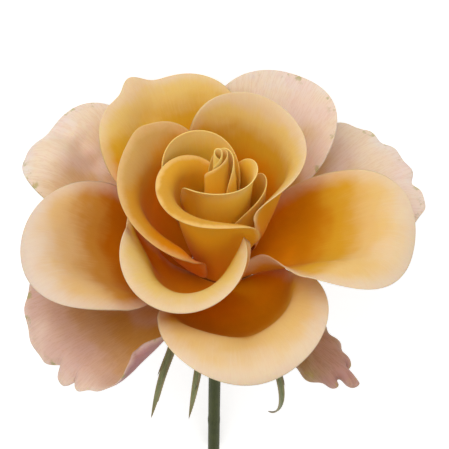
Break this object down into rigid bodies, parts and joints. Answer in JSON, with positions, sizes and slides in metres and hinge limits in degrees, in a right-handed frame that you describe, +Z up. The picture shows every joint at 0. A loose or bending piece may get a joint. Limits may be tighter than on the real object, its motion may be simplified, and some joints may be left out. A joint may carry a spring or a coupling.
{
  "type": "garden rose",
  "caption": "Open double garden rose on a short cut stem: golden rolled heart, apricot cupped petals, blush guard petals, green sepals; lying on its back petals.",
  "frame": {"origin": "on the table under the middle of the lying flower: centre of the bounding box's base", "axes": "+Z up from the table; the stem runs from the bloom towards -Y, the bloom opens towards +Y and up; +X is across the bloom"},
  "size_m": [0.118, 0.1504, 0.0902],
  "materials": {
    "petal_heart_gold": "velvety matte, deep golden amber petals of the bud",
    "petal_apricot": "velvety matte, apricot yellow with cream-peach margins",
    "petal_blush": "velvety matte, cream blushed with pink, weathered at the margin",
    "sepal_green": "matte olive green with downy margins",
    "stem_green": "smooth semi-matte dark green"
  },
  "bodies": {
    "root": {"petal_heart": "petal_heart_gold", "petal_heart_wrap": "petal_heart_gold", "petal_inner_right": "petal_heart_gold", "petal_inner_front": "petal_heart_gold", "petal_ring_back": "petal_heart_gold", "petal_ring_front": "petal_heart_gold", "petal_wall_right": "petal_heart_gold", "petal_heart_left": "petal_apricot", "petal_sweep_right": "petal_apricot", "petal_front_cup": "petal_apricot", "petal_back_left": "petal_apricot", "petal_left_bowl": "petal_apricot", "petal_right_bowl": "petal_apricot", "petal_front_low": "petal_apricot", "petal_back_right": "petal_blush", "petal_guard_left": "petal_blush", "petal_guard_right": "petal_blush", "petal_guard_low_left": "petal_blush", "petal_guard_low_right": "petal_blush", "sepal_front_left": "sepal_green", "sepal_front": "sepal_green", "sepal_front_right": "sepal_green", "sepal_back_right": "sepal_green", "sepal_back_left": "sepal_green", "stem_and_hip": "stem_green"}
  },
  "joints": []
}
